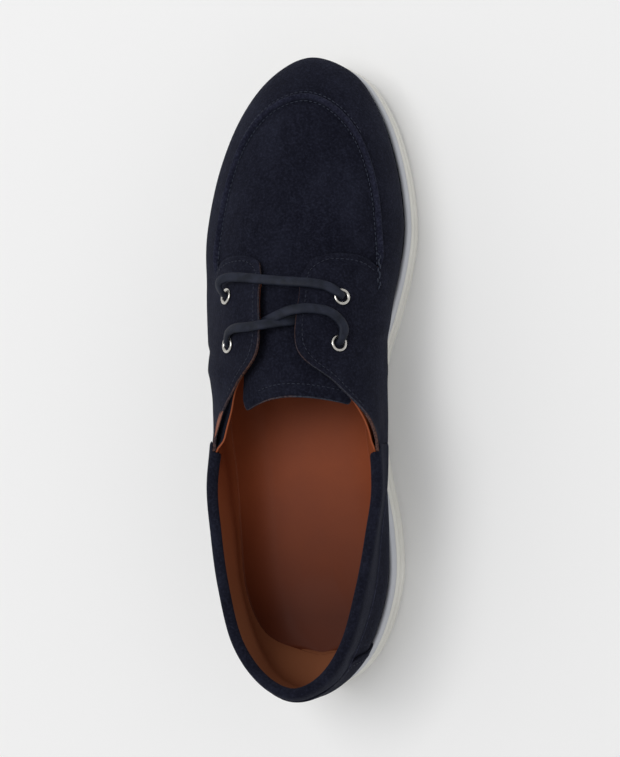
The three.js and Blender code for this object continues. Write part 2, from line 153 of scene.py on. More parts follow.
# the side wall from its foot to the inner edge of the lip: share of the height, distance outside the edge,
# and a small lift from there, which shapes the two grooves
SOLE_WALL = table("share out lift", [
    (0, -3, 0), (0.02, -1.9, 0), (0.06, -0.8, 0), (0.11, -0.25, 0), (0.18, 0, 0), (0.3, -0.1, 0),
    (0.42, -0.25, -0.55), (0.42, -0.7, -0.3), (0.42, -1.15, 0), (0.42, -0.7, 0.3), (0.42, -0.25, 0.55),
    (0.56, -0.35, 0),
    (0.7, -0.45, -0.55), (0.7, -0.9, -0.3), (0.7, -1.35, 0), (0.7, -0.9, 0.3), (0.7, -0.45, 0.55),
    (0.85, -0.55, 0), (0.94, -0.65, 0), (0.98, -0.85, 0), (1, -1.25, 0), (1, -1.7, 0), (1, -2.4, -0.1),
])
TOE = len(SOLE_EDGE["y"]) - 1  # spokes are counted from the heel's back, up the medial side, to the toe's tip
SPOKES = 2 * TOE
X = ("medial", "lateral")


def between(a, b, c, d, f):
    """Catmull-Rom from b to c, at share f of the way."""
    return b + 0.5 * f * (c - a + f * (2 * a - 5 * b + 4 * c - d + f * (3 * (b - c) + d - a)))


def column_at(rows, column, y):
    """A table's column at y, eased between rows."""
    y = np.asarray(y, float)
    last = len(rows["y"]) - 1
    i = np.clip(np.searchsorted(rows["y"], y) - 1, 0, last - 1)
    f = np.clip((y - rows["y"][i]) / (rows["y"][i + 1] - rows["y"][i]), 0, 1)
    value = [rows[column][np.clip(i + k, 0, last)] for k in (-1, 0, 1, 2)]
    return between(*value, f)


def lip_z(y):
    return column_at(SOLE_HEIGHTS, "lip", y)


def bottom_z(y):
    return np.maximum(0, column_at(SOLE_HEIGHTS, "bottom", y))


def round_shoe(line, columns, u):
    """A line's column at u, in spokes. The two columns are the medial and the lateral side's."""
    around = np.concatenate([line[columns[0]], line[columns[1]][-2:0:-1]])
    i = np.floor(u).astype(int)
    return between(*[around[(i + k) % SPOKES] for k in (-1, 0, 1, 2)], u - i)


def sole_edge(u, out=0.0):
    """The sole's edge in plan, moved outwards."""
    def at(v):
        return np.stack([round_shoe(SOLE_EDGE, X, v), round_shoe(SOLE_EDGE, ("y", "y"), v)], -1)
    along = at(u + 0.02) - at(u - 0.02)
    along /= np.linalg.norm(along, axis=-1, keepdims=True)
    outward = np.stack([along[..., 1], -along[..., 0]], -1)
    return at(u) + outward * np.asarray(out)[..., None]


# the tables are drawn from a point near the middle of the foot, and the frame's origin is its box's middle
drawn = sole_edge(np.linspace(0, SPOKES, 2000))
sole_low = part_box("sole")[0]
SHIFT = np.array([sole_low.x / MM - drawn[:, 0].min(), sole_low.y / MM - drawn[:, 1].min(), 0])


def grid(points, wrap=False, slot=0, flip=False):
    """The faces of a grid of points, seen from outside with columns running right and rows running up."""
    rows, columns = points.shape[:2]
    r, c = np.meshgrid(np.arange(rows - 1), np.arange(columns if wrap else columns - 1), indexing="ij")
    corners = [(r, c), (r, c + 1), (r + 1, c + 1), (r + 1, c)]
    faces = np.stack([a * columns + b % columns for a, b in corners], -1).reshape(-1, 4)
    return points.reshape(-1, 3), faces[:, ::-1] if flip else faces, slot


def build(name, parts, materials):
    """One smooth mesh from grids in millimetres, its meeting edges joined."""
    points, faces, slots, count = [], [], [], 0
    for part_points, part_faces, slot in parts:
        points.append(part_points)
        faces += (part_faces + count).tolist()
        slots += [slot] * len(part_faces)
        count += len(part_points)
    mesh = bpy.data.meshes.new(name)
    mesh.from_pydata(((np.concatenate(points) + SHIFT) * MM).tolist(), [], faces)
    for made in materials:
        mesh.materials.append(made)
    mesh.polygons.foreach_set("material_index", slots)
    mesh.polygons.foreach_set("use_smooth", [True] * len(slots))
    joined = bmesh.new()
    joined.from_mesh(mesh)
    bmesh.ops.remove_doubles(joined, verts=joined.verts, dist=JOIN_WITHIN * MM)
    bmesh.ops.dissolve_degenerate(joined, edges=joined.edges, dist=JOIN_WITHIN * MM / 10)
    joined.to_mesh(mesh)
    joined.free()
    piece = bpy.data.objects.new(name, mesh)
    SCENE.collection.objects.link(piece)
    return piece


def cap(outline):
    """Two rows that close an end: its outline, and its middle all the way round."""
    return np.stack([outline, np.repeat(outline.mean(0)[None], len(outline), 0)])


def finish_piece(piece, slot, *nodes):
    """Every piece of the shoe rides on its one body."""
    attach(piece, "root")
    if nodes:
        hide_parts(*nodes)


def across(left, right, count):
    """Points from one side's line to the other's: rows across the shoe, from the lateral side."""
    share = np.linspace(0, 1, count)[:, None]
    return left[:, None] * (1 - share) + right[:, None] * share


def link(made, *pairs):
    for a, b in pairs:
        made.node_tree.links.new(a, b)


def paint(made, colour):
    link(made, (colour, shader_input(made, "Base Color")))


def node(made, kind, inputs=None, **settings):
    """A node of a material, with its constants by socket name."""
    new = made.node_tree.nodes.new(kind)
    for key_name, value in settings.items():
        setattr(new, key_name, value)
    for socket, value in (inputs or {}).items():
        new.inputs[socket].default_value = value
    return new


def object_noise(made, scale, detail=3.0, rough=0.5, stretch=(1, 1, 1)):
    """Noise on Object coordinates. Scale is in features to the metre."""
    where = node(made, "ShaderNodeTexCoord")
    placed = node(made, "ShaderNodeMapping", {"Scale": stretch})
    noise = node(made, "ShaderNodeTexNoise", {"Scale": scale, "Detail": detail, "Roughness": rough})
    link(made, (where.outputs["Object"], placed.inputs["Vector"]))
    link(made, (placed.outputs[0], noise.inputs["Vector"]))
    return noise.outputs["Fac"]


def ramp(made, value, *stops):
    """A colour ramp with stops (place, colour)."""
    new = node(made, "ShaderNodeValToRGB")
    for i, (at, colour) in enumerate(stops):
        stop = new.color_ramp.elements[i] if i < 2 else new.color_ramp.elements.new(at)
        stop.position = at
        stop.color = (*colour, 1)
    link(made, (value, new.inputs[0]))
    return new.outputs["Color"]


def blend_colours(made, share, a, b):
    new = node(made, "ShaderNodeMix", data_type="RGBA")
    for source, socket in ((share, new.inputs[0]), (a, new.inputs[6]), (b, new.inputs[7])):
        if isinstance(source, bpy.types.NodeSocket):
            link(made, (source, socket))
        else:
            socket.default_value = source
    return new.outputs[2]


def bump(made, *layers):
    """Bumps one on another: (height socket, depth in millimetres, strength)."""
    last = None
    for height, depth, strength in layers:
        new = node(made, "ShaderNodeBump", {"Distance": depth * MM, "Strength": strength})
        link(made, (height, new.inputs["Height"]))
        if last:
            link(made, (last, new.inputs["Normal"]))
        last = new.outputs["Normal"]
    link(made, (last, shader_input(made, "Normal")))


def rough_between(made, value, low, high):
    """Roughness that varies with a noise."""
    new = node(made, "ShaderNodeMapRange", {"To Min": low, "To Max": high})
    link(made, (value, new.inputs["Value"]))
    link(made, (new.outputs[0], shader_input(made, "Roughness")))


def rubber(name, pale, shaded):
    made = new_material(name, pale, 0.5, Specular_IOR_Level=0.4)
    mottle = object_noise(made, 60)
    grain = object_noise(made, 2600, 2)
    paint(made, ramp(made, mottle, (0.3, shaded), (0.7, pale)))
    rough_between(made, mottle, 0.45, 0.6)
    bump(made, (grain, 0.05, 0.5))
    return made


stations = np.linspace(0, TOE, SOLE_STATIONS)
ring = np.concatenate([stations, SPOKES - stations[-2:0:-1]])


def wall_ring(share, out, lift):
    edge = sole_edge(ring, out)
    low = bottom_z(edge[:, 1])
    return np.column_stack([edge, low + (lip_z(edge[:, 1]) - low) * share + lift])


wall = np.array([wall_ring(*row) for row in zip(*SOLE_WALL.values())])
seat = wall[-1].copy()
seat[:, 2] = lip_z(seat[:, 1]) - LIP_DEPTH


def close_across(edge_ring, count):
    """A closing face from the lateral to the medial half of a ring."""
    medial = edge_ring[:SOLE_STATIONS]
    lateral = np.concatenate([edge_ring[:1], edge_ring[:SOLE_STATIONS - 2:-1]])
    return across(lateral, medial, count)


tread = close_across(wall[0], 41)
from_side = np.minimum(np.abs(tread[..., 0] - tread[:, :1, 0]), np.abs(tread[:, -1:, 0] - tread[..., 0]))
inside = np.clip((from_side - TREAD["margin"]) / TREAD["edge"], 0, 1)
for place in TREAD["places"]:
    cut = np.clip((TREAD["wide"] / 2 - np.abs(tread[..., 1] - place)) / TREAD["edge"] + 1, 0, 1)
    tread[..., 2] += TREAD["deep"] * cut * inside

off_white = rubber("sole_rubber", (0.76, 0.75, 0.7), (0.69, 0.68, 0.63))
lip_rubber = rubber("sole_lip_rubber", (0.52, 0.535, 0.575), (0.46, 0.475, 0.515))
sole = build("rubber_sole", [
    grid(wall[:-LIP_ROWS + 1], wrap=True),
    grid(wall[-LIP_ROWS:], wrap=True, slot=1),
    grid(np.array([wall[-1], seat]), wrap=True),
    grid(tread, flip=True),
    grid(close_across(seat, 2)),
], [off_white, lip_rubber])
finish_piece(sole, "rubber", "sole")

# ------------------------------------------------------------------ lining
# Smooth tan leather inside the whole upper. It is padded with foam round the heel, and its cut edge shows
# as a thin tan line along the quarters and the eyelet tabs.
LINING = {"under": 1.45, "thick": 0.75, "split": 2.3}
# how far its edge is behind the suede's, in levels at the top and in spokes at the front
SET_BACK = {"medial": 0.07, "lateral": 0.04, "front": 0.09}
PADDING = {"under": 3.35, "ease": 0.35, "levels": (1.6, 3.5)}
TOE_TUCK = {"deep": 1.6, "spokes": (11.0, 12.5), "levels": (0.5, 1.6)}
HEEL_FOOT = {"forward": 13.0, "spokes": (0.2, 2.7), "levels": (0.8, 2.9), "power": 1.3}
# where suede and lining part at the notches: start, full, still full and end
SPLIT = {"lateral": (21.0, 21.8, 22.22, 22.46), "medial": (-6.7, -6.2, -5.75, -5.54), "levels": (3.9, 5.0)}
MEDIAL_SPLIT = 0.4  # of the lateral one
COLLAR_START = 5.54  # spokes from the heel's back to the collar's two ends
COLLAR_INSIDE = 4.75  # level where the lining meets the collar's suede
# the upper runs through six lines, at levels 0 to 5: its foot, the sole's lip, the widest line, the middle
# line, the crown and the top edge
MID = 3
TOP = 5
WIDE_SHARE = 0.5  # height of the widest line, from the sole's lip to the middle line

# the middle line: the apron seam in front, and the foot of the padded collar behind
MIDDLE_LINE = table("y lateral medial z", [
    (-141, 2, 2, 57.5),
    (-134.3, -12.8, 16.2, 57.3),
    (-118, -23.3, 25.6, 56.7),
    (-94, -31.2, 32.8, 54.5),
    (-70, -34.8, 35.4, 52),
    (-47, -38.5, 37.7, 50),
    (-22, -40.5, 38.2, 50),
    (4, -41.8, 37.7, 53),
    (26, -41, 37.7, 53.5),
    (45, -39, 37.8, 52.4),
    (62, -37.8, 37.2, 51),
    (86, -33.1, 34.6, 50.5),
    (106.6, -24.9, 27.8, 51),
    (120.3, -12.6, 16.6, 51.8),
    (125.6, 3, 3, 52.2),
])
# the top edge: round the collar, down the quarters, up the eyelet tabs and across the throat
TOP_LINE = table("y lateral medial z crown", [
    (-138.3, 2.2, 2.2, 79, 0.6),
    (-131.8, -12.4, 16.6, 78.7, 0.6),
    (-115.7, -24.8, 27.9, 77.3, 0.6),
    (-91, -31.8, 34.4, 74.8, 0.6),
    (-68, -36, 38.6, 71.8, 0.6),
    (-46, -38, 41.1, 69.2, 0.8),
    (-20, -32.2, 37.8, 69.8, 1.5),
    (-2, -22, 24, 77, 2.5),
    (13, -10.5, 8.3, 83.8, 3.2),
    (38, -11.5, 7.2, 75.8, 3.2),
    (50.5, -10, 6.8, 69.7, 2.6),
    (52.5, -6, 3.6, 68.8, 2.2),
    (53, -3.5, 1, 68.6, 1.6),
    (53.2, -2.2, -0.4, 68.6, 1.2),
    (53.2, -1.2, -1.2, 68.6, 1),
])


def leather(name, light, dark, at_heel, roughness):
    """Smooth leather: a fine pore grain, a slow change of tone, and another colour towards the heel: the heel
    grip's own tone on the lining, and painted shade on the sock.
    """
    made = new_material(name, light, roughness, Specular_IOR_Level=0.16)
    tone = object_noise(made, 28, 4, 0.55)
    pores = object_noise(made, 1500, 2)
    grain = node(made, "ShaderNodeTexVoronoi", {"Scale": 1700.0}, feature="DISTANCE_TO_EDGE")
    where = node(made, "ShaderNodeTexCoord")
    apart = node(made, "ShaderNodeSeparateXYZ")
    link(made, (where.outputs["Object"], grain.inputs["Vector"]), (where.outputs["Object"], apart.inputs[0]))
    colour = ramp(made, tone, (0.32, dark), (0.7, light))
    speckled = blend_colours(made, 0.12, colour, ramp(made, pores, (0.35, dark), (0.65, light)))
    # towards the heel the colour turns to at_heel: the lining's heel grip tone, and painted shade in the
    # sock's deep heel cup
    heel_grip_and_shade = node(made, "ShaderNodeMapRange", {"From Min": -0.04, "From Max": -0.11, "To Max": 0.85})
    link(made, (apart.outputs["Y"], heel_grip_and_shade.inputs["Value"]))
    paint(made, blend_colours(made, heel_grip_and_shade.outputs[0], speckled, (*at_heel, 1)))
    rough_between(made, tone, roughness - 0.06, roughness + 0.08)
    bump(made, (grain.outputs["Distance"], 0.05, 0.25), (tone, 0.25, 0.35))
    return made


def fade(x, start, end):
    """0 before start, 1 after end, eased between."""
    t = np.clip((x - start) / (end - start), 0, 1)
    return t * t * (3 - 2 * t)


def from_heel(u):
    """Spokes from the heel's back, on either side."""
    return np.minimum(u % SPOKES, SPOKES - u % SPOKES)


def on_line(line, u):
    return np.stack([round_shoe(line, columns, u) for columns in (X, ("y", "y"), ("z", "z"))], -1)


def unit(vectors):
    return vectors / np.maximum(np.linalg.norm(vectors, axis=-1, keepdims=True), 1e-9)


def face(u, v):
    """The upper's outer face at u, in spokes, and v, in levels."""
    u, v = np.broadcast_arrays(np.asarray(u, float), np.asarray(v, float))
    edge = sole_edge(u, -(LIP_WIDTH + GAP))
    lip = np.concatenate([edge, (lip_z(edge[..., 1]) + GAP)[..., None]], -1)
    bite = lip - np.array([0, 0, LIP_DEPTH])
    middle, top = on_line(MIDDLE_LINE, u), on_line(TOP_LINE, u)
    edge = sole_edge(u, round_shoe(SOLE_EDGE, ("out_medial", "out_lateral"), u))
    wide_z = lip_z(edge[..., 1]) * (1 - WIDE_SHARE) + middle[..., 2] * WIDE_SHARE
    wide = np.concatenate([edge, wide_z[..., None]], -1)
    slant = top - middle
    side = unit(np.stack([slant[..., 1], -slant[..., 0], 0 * slant[..., 0]], -1))
    bulge = -np.cross(unit(slant), side) * round_shoe(TOP_LINE, ("crown", "crown"), u)[..., None]
    crown = (middle + top) / 2 + bulge
    lines = np.stack([2 * bite - lip, bite, lip, wide, middle, crown, top, 2 * top - crown])
    i = np.clip(np.floor(v).astype(int), 0, TOP - 1)
    four = [np.take_along_axis(lines, (i + k)[None, ..., None], 0)[0] for k in range(4)]
    return between(*four, (v - i)[..., None])


def face_normal(u, v):
    step = 0.02
    du = face(u + step, v) - face(u - step, v)
    dv = face(u, np.minimum(v + step, TOP)) - face(u, np.maximum(v - step, 0))
    return unit(np.cross(du, dv))


def skin(u, v, out=0.0):
    """A point of the face, moved along its normal."""
    u, v = np.broadcast_arrays(np.asarray(u, float), np.asarray(v, float))
    return face(u, v) + face_normal(u, v) * np.asarray(out)[..., None]


# the tabs: their front edge crosses the instep, and turns back round a corner to their inner edge
TAB_FRONT = table("y spoke", [(3, 9.2), (3.5, 9.62), (4, 9.85), (4.5, 10.0), (4.8, 9.95), (5, 9.45)])
TAB_COLUMNS = np.linspace(0, 1, 61)
TAB_ROWS = np.linspace(MID, TOP, 41)


def tab_places(medial, rows=TAB_ROWS, share=TAB_COLUMNS):
    """Spokes and levels over a quarter and its tab, from the collar's end to the tab's front edge."""
    v, s = np.meshgrid(rows, share, indexing="ij")
    u = COLLAR_START + s * (column_at(TAB_FRONT, "spoke", v) - COLLAR_START)
    return (u, v) if medial else ((SPOKES - u)[:, ::-1], v[:, ::-1])


COLUMNS = np.concatenate([
    np.linspace(0, COLLAR_START, 60)[:-1],
    COLLAR_START + TAB_COLUMNS * (TAB_FRONT["spoke"][0] - COLLAR_START),
    np.linspace(TAB_FRONT["spoke"][0], TOE, 60)[1:],
])
COLUMNS = np.concatenate([COLUMNS, SPOKES - COLUMNS[-2:0:-1]])


def lining_out(u, v):
    """How far the lining is from the suede's face. It is padded round the heel, and tucked in at the toe."""
    heel = 1 - fade(from_heel(u), COLLAR_START - PADDING["ease"], COLLAR_START)
    pad = fade(v, *PADDING["levels"]) * heel
    tuck = TOE_TUCK["deep"] * fade(from_heel(u), *TOE_TUCK["spokes"]) * (1 - fade(v, *TOE_TUCK["levels"]))
    return -LINING["under"] - (PADDING["under"] - LINING["under"]) * pad - tuck


def inner_skin(u, v, under=0.0):
    """The lining's outer face, or a place under it. Its foot comes forward round the heel's back."""
    points = skin(u, v, lining_out(u, v) - under)
    near_heel = 1 - fade(from_heel(u), *HEEL_FOOT["spokes"])
    low = 1 - fade(v, *HEEL_FOOT["levels"])
    points[..., 1] += HEEL_FOOT["forward"] * near_heel * low ** HEEL_FOOT["power"]
    return points


def notch_split(u, v):
    """At the notches the quarter's suede and its lining part at the edge, mostly on the lateral side."""
    shares = []
    for x, (start, full, still_full, end) in ((u, SPLIT["lateral"]), (-u, SPLIT["medial"])):
        shares.append(fade(x, start, full) * (1 - fade(x, still_full, end)))
    return (shares[0] + MEDIAL_SPLIT * shares[1]) * fade(v, *SPLIT["levels"])


def give_thickness(piece, thick, rim_slot=0):
    """Leather of one thickness, whose cut edges can have a material of their own."""
    made = piece.modifiers.new("thickness", "SOLIDIFY")
    made.thickness = thick * MM
    made.offset = -1
    made.material_offset_rim = rim_slot


side_u, side_v = np.meshgrid(COLUMNS, np.linspace(0, MID, 31))
lining_leather = leather(
    "lining_leather", (0.28, 0.072, 0.027), (0.22, 0.053, 0.019), (0.2, 0.076, 0.035), 0.6)
parts = [grid(inner_skin(side_u, side_v), wrap=True)]
for medial in (True, False):
    u, v = tab_places(medial)
    low_v = v - SET_BACK["medial" if medial else "lateral"] * fade(v, 4.5, TOP)
    front = column_at(TAB_FRONT, "spoke", v)
    back_u = SET_BACK["front"] * fade(from_heel(u), front - 0.5, front) * fade(v, MID, MID + 0.15)
    u = u - back_u if medial else u + back_u
    parts.append(grid(inner_skin(u, low_v, LINING["split"] * notch_split(u, v))))
heel_columns = np.linspace(-COLLAR_START, COLLAR_START, 119)
heel_u, heel_v = np.meshgrid(heel_columns, np.linspace(MID, COLLAR_INSIDE, 22))
parts.append(grid(inner_skin(heel_u % SPOKES, heel_v)))
lining = build("lining", parts, [lining_leather])
give_thickness(lining, LINING["thick"])
finish_piece(lining, "leather")

# ------------------------------------------------------------------ insole
# A sock of smooth tan leather over a thin foam bed, moulded up at its edge, most of all along the lateral
# side, and cupped under the heel. It is glued into the shoe over the sole's floor.
SOCK = {"thick": 2.2, "height": 3.6, "level": 1.1, "lateral_level": 1.75, "clear": 0.12, "curl_width": 15.0}
WAIST_ROLL = {"at": 23.6, "full": 1.4, "end": 3.4}  # spokes along the lateral side of the waist
# what feet and moulding press into it: place along the shoe, length, height, and width of its sloping side
HEEL_CUP = {"at": -104, "long": 26, "high": -1.6, "side": 24}
BALL_DENT = {"at": 50, "long": 30, "high": -0.8, "side": 30}
ARCH_RISE = {"at": -18, "long": 34, "high": 2.2, "side": 30}


def sock_line(u):
    """The sock's edge against the lining. It is carried up the lining along the lateral side of the waist."""
    rise = 1 - fade(np.abs(u - WAIST_ROLL["at"]), WAIST_ROLL["full"], WAIST_ROLL["end"])
    level = SOCK["level"] + (SOCK["lateral_level"] - SOCK["level"]) * rise
    return inner_skin(u, level, LINING["thick"] + SOCK["clear"])


sock_u = np.linspace(0.06, TOE - 0.06, 240)
sock = across(sock_line(SPOKES - sock_u), sock_line(sock_u), 101)
from_lateral = np.abs(sock[..., 0] - sock[:, :1, 0])
from_medial = np.abs(sock[:, -1:, 0] - sock[..., 0])
from_end = 0.7 * np.minimum(sock[..., 1] - sock[0, 0, 1], sock[-1, 0, 1] - sock[..., 1])
edge_gap = np.minimum(np.minimum(from_lateral, from_medial), from_end)
flat = lip_z(sock[..., 1]) - LIP_DEPTH + GAP + SOCK["height"]
forms = ((HEEL_CUP, edge_gap, 1.5), (BALL_DENT, edge_gap, 1), (ARCH_RISE, sock[..., 0], 2))
for form, inwards, power in forms:
    slope = np.clip(inwards / form["side"], 0, 1) ** power
    flat = flat + form["high"] * slope * np.exp(-((sock[..., 1] - form["at"]) / form["long"]) ** 2)
width = np.minimum(SOCK["curl_width"], 0.45 * (from_lateral + from_medial) + 0.01)
lateral_curl = np.clip(1 - from_lateral / width, 0, 1) ** 2.4 * (sock[:, :1, 2] - flat[:, :1])
medial_curl = np.clip(1 - from_medial / width, 0, 1) ** 2.4 * (sock[:, -1:, 2] - flat[:, -1:])
sock[..., 2] = flat + lateral_curl + medial_curl
# the sock's third colour, near black, is painted shade darkening its deep heel cup
sock_leather = leather("sock_leather", (0.25, 0.058, 0.02), (0.2, 0.044, 0.015), (0.05, 0.0085, 0.0025), 0.58)
insole = build("leather_insole", [grid(sock)], [sock_leather])
give_thickness(insole, SOCK["thick"])
finish_piece(insole, "leather", "insole")

# ------------------------------------------------------------------ vamp, quarters and tabs
# One piece of napped navy suede, 1.4 mm thick, lasted into the sole. Its front edge is gathered to the apron,
# and its quarters run up into two tabs that lie over the apron and carry the eyelets.
SUEDE_THICK = 1.4
TAB_PROUD = {"high": 0.35, "spokes": (8.2, 9.2), "levels": (3.0, 3.4)}
NOTCH = {"curl": (21.6, 22.42), "radius": 1.05, "strip": (20.9, 22.44), "facing": 0.4, "clear": 0.05}
SUEDE_SPLIT = 0.9  # how far the suede leans out where it parts from the lining
# hollows and swells: where (spoke, level), how far they reach each way, and how high
CREASES = table("u v wide tall out", [
    (20.7, 3.2, 0.10, 1.1, -0.9),
    (21.0, 3.4, 0.12, 1.0, 0.8),
    (21.5, 2.6, 0.20, 0.8, -0.6),
    (7.5, 2.7, 0.16, 1.0, -0.7),
    (6.9, 2.9, 0.18, 0.9, 0.6),
    (5.0, 2.4, 0.30, 0.5, -0.6),
    (3.3, 2.3, 0.25, 0.6, -0.5),
    (9.0, 2.2, 0.35, 0.6, 0.4),
    (19.2, 2.3, 0.35, 0.6, -0.4),
    (24.3, 2.3, 0.4, 0.6, -0.5),
])


def creases(u, v, rows=CREASES):
    out = 0 * u
    for at_u, at_v, wide, tall, height in zip(*rows.values()):
        along = np.abs(u - at_u)
        along = np.minimum(along, SPOKES - along)
        out += height * np.exp(-(along / wide) ** 2 - ((v - at_v) / tall) ** 2)
    return out


def suede(name, tint=1.0, mottle_scale=1.0):
    """Napped suede: near-black navy that mottles where the nap lies differently, with a fine fibre bump."""
    made = new_material(name, (0.008, 0.009, 0.016), 0.95, Specular_IOR_Level=0.05)
    shader_input(made, "Sheen Weight").default_value = 0.04
    shader_input(made, "Sheen Roughness").default_value = 0.6
    shader_input(made, "Sheen Tint").default_value = (0.55, 0.6, 0.85, 1)
    patches = object_noise(made, 48 * mottle_scale, 4, 0.6, (1, 0.6, 1))
    clouds = object_noise(made, 210 * mottle_scale, 4, 0.65, (1, 0.7, 1))
    nap = object_noise(made, 950, 3, 0.7)
    fibres = object_noise(made, 2600, 3, 0.75)
    deep, mid, pale = [tuple(tint * c for c in colour) for colour in (
        (0.0018, 0.002, 0.0052), (0.0066, 0.007, 0.0135), (0.019, 0.021, 0.036))]
    slow = ramp(made, patches, (0.34, deep), (0.5, mid), (0.66, pale))
    middling = ramp(made, clouds, (0.28, deep), (0.5, mid), (0.74, pale))
    quick = ramp(made, nap, (0.34, deep), (0.5, mid), (0.68, pale))
    paint(made, blend_colours(made, 0.55, blend_colours(made, 0.5, slow, middling), quick))
    rough_between(made, nap, 0.85, 1.0)
    bump(made, (clouds, 0.7, 0.45), (nap, 0.5, 0.8), (fibres, 0.2, 0.8))
    return made


navy_suede = suede("navy_suede")
cut_edge = new_material("cut_edge", (0.05, 0.032, 0.03), 0.9, Specular_IOR_Level=0.1)
fray = object_noise(cut_edge, 1400, 3)
bare = ramp(cut_edge, fray, (0.36, (0.022, 0.015, 0.018)), (0.62, (0.11, 0.055, 0.042)))
dyed = ramp(cut_edge, fray, (0.36, (0.012, 0.013, 0.02)), (0.62, (0.042, 0.044, 0.058)))
where_dyed = ramp(cut_edge, object_noise(cut_edge, 34, 2), (0.4, (0, 0, 0)), (0.55, (1, 1, 1)))
paint(cut_edge, blend_colours(cut_edge, where_dyed, bare, dyed))
rough_between(cut_edge, fray, 0.8, 1.0)
bump(cut_edge, (fray, 0.2, 0.6))


def tab_out(u, v):
    """The tab rises over the apron towards its front edge."""
    return TAB_PROUD["high"] * fade(from_heel(u), *TAB_PROUD["spokes"]) * fade(v, *TAB_PROUD["levels"])


side_out = creases(side_u, side_v)
parts = [grid(skin(side_u, side_v, side_out), wrap=True)]
for medial in (True, False):
    u, v = tab_places(medial)
    parts.append(grid(skin(u, v, tab_out(u, v) + creases(u, v) + SUEDE_SPLIT * notch_split(u, v))))
quarters = build("vamp_and_quarters", parts, [navy_suede, cut_edge])
give_thickness(quarters, SUEDE_THICK, rim_slot=1)
finish_piece(quarters, "suede", "upper")


def bead(name, line, radius, made, slot):
    """A thin rolled edge along a line, which tapers to nothing at both ends."""
    along = unit(np.gradient(line, axis=0))
    side = unit(np.cross(along, (0, 0, 1)))
    up = np.cross(side, along)
    taper = np.sqrt(np.clip(np.sin(np.linspace(0, math.pi, len(line))), 0, 1))
    reach = (np.broadcast_to(radius, len(line)) * taper)[:, None]
    rows = np.array([line + reach * (math.cos(a) * side + math.sin(a) * up)
                     for a in np.linspace(0, 2 * math.pi, 11)])
    finish_piece(build(name, [grid(rows)], [made]), slot)


# at the lateral notch the quarter's own backing curls out, and a strip of suede faces the lining
curl_share = np.linspace(0, 1, 70)
curl_u = NOTCH["curl"][0] + (NOTCH["curl"][1] - NOTCH["curl"][0]) * curl_share
curl_line = skin(curl_u, TOP - 0.05, SUEDE_SPLIT * notch_split(curl_u, TOP) - 0.6)
backing = leather("notch_backing", (0.3, 0.13, 0.09), (0.16, 0.05, 0.032), (0.3, 0.13, 0.09), 0.75)
bead("notch_curl", curl_line, NOTCH["radius"] * (0.55 + 0.45 * (1 - curl_share) ** 2), backing, "leather")
strip_u, strip_v = np.meshgrid(np.linspace(*NOTCH["strip"], 60), np.linspace(4.0, 4.955, 24))
strip = inner_skin(strip_u, strip_v, LINING["split"] * notch_split(strip_u, strip_v) - NOTCH["facing"])
facing = build("notch_facing", [grid(strip)], [navy_suede])
give_thickness(facing, NOTCH["facing"] - NOTCH["clear"])
finish_piece(facing, "suede")

# ------------------------------------------------------------------ apron and tongue
# One piece of the same suede. In front it fills the seam round the toe, and behind the tabs' front edges it
# drops under them and goes on as the tongue, which ends in a hollow edge with rounded corners.
# how deep it drops towards the tabs, and how deep the seam pulls its edge down; y is along the shoe
APRON_DROP = {"deep": 2.0, "y": (55, 70), "levels": (3.0, 3.5)}
VALLEY = {"deep": 1.0, "y": (48, 60), "levels": (3.06, 3.3)}
ON_FACE_FROM = (48, 66)
TONGUE_END = {"middle": -7.7, "lateral": 5.9, "medial": 3.6, "corner": 0.88, "turn": 5.0}
TONGUE_BEAD = 0.42
# the tongue and the part of the apron under the tabs, as arched sections
ARCHES = table("y z half drop shift", [
    (-14, 77.8, 26, 8.6, 4.6),
    (0, 79.8, 23.8, 10.5, 3.2),
    (12, 78, 22.5, 10.5, 1),
    (25, 74.2, 22, 9.5, 0),
    (40, 69.8, 25.5, 8.6, -1),
    (49, 67.7, 32, 12.3, -0.8),
    (60, 65.5, 38, 15, -0.3),
])

known_u, known_v = [a.ravel() for a in np.meshgrid(np.linspace(7.4, 20.6, 265), np.linspace(2.8, 5, 45))]
known = face(known_u, known_v)
nearby = kdtree.KDTree(len(known))
for number, (x, y, _) in enumerate(known):
    nearby.insert((x, y, 0), number)
nearby.balance()


def places_over(x, y):
    """The spoke and level of the face over places in plan, by Newton's steps from the nearest known one."""
    near = [nearby.find((a, b, 0))[1] for a, b in zip(x, y)]
    u, v = known_u[near].copy(), known_v[near].copy()
    step = 0.01
    for _ in range(6):
        here = face(u, v)
        du = (face(u + step, v) - here) / step
        dv = (face(u, v + step) - here) / step
        det = du[:, 0] * dv[:, 1] - du[:, 1] * dv[:, 0]
        det = np.where(np.abs(det) < 1e-3, 1e-3, det)
        dx, dy = x - here[:, 0], y - here[:, 1]
        u += np.clip((dx * dv[:, 1] - dy * dv[:, 0]) / det, -0.2, 0.2)
        v += np.clip((du[:, 0] * dy - du[:, 1] * dx) / det, -0.2, 0.2)
    return u, v


def arch_z(x, y):
    z, half, drop, shift = [column_at(ARCHES, name, y) for name in ("z", "half", "drop", "shift")]
    return z - drop * ((x - shift) / half) ** 2


UNDER_TABS = 50  # y, where the arched sections take over from the seam's outline
seam_u = np.linspace(8.6, TOE, 300)
seam_medial = face(seam_u, MID)
seam_lateral = face(SPOKES - seam_u, MID)
toe_y = seam_medial[-1, 1] - 0.3
front_rows = toe_y - (toe_y - UNDER_TABS) * np.linspace(0, 1, 130) ** 2
back_share = np.linspace(0, 1, 80)[1:]
side_share = np.linspace(-1, 1, 91)  # from the lateral to the medial edge


def tongue_end(across_share):
    """Where the tongue's free edge is, in y."""
    corner = TONGUE_END["corner"]
    turned = np.clip((np.abs(across_share) - corner) / (1 - corner), 0, 1)
    back = np.where(across_share < 0, TONGUE_END["lateral"], TONGUE_END["medial"])
    out_to = np.minimum(np.abs(across_share) / corner, 1)
    return TONGUE_END["middle"] - back * out_to ** 2.1 + TONGUE_END["turn"] * turned ** 2


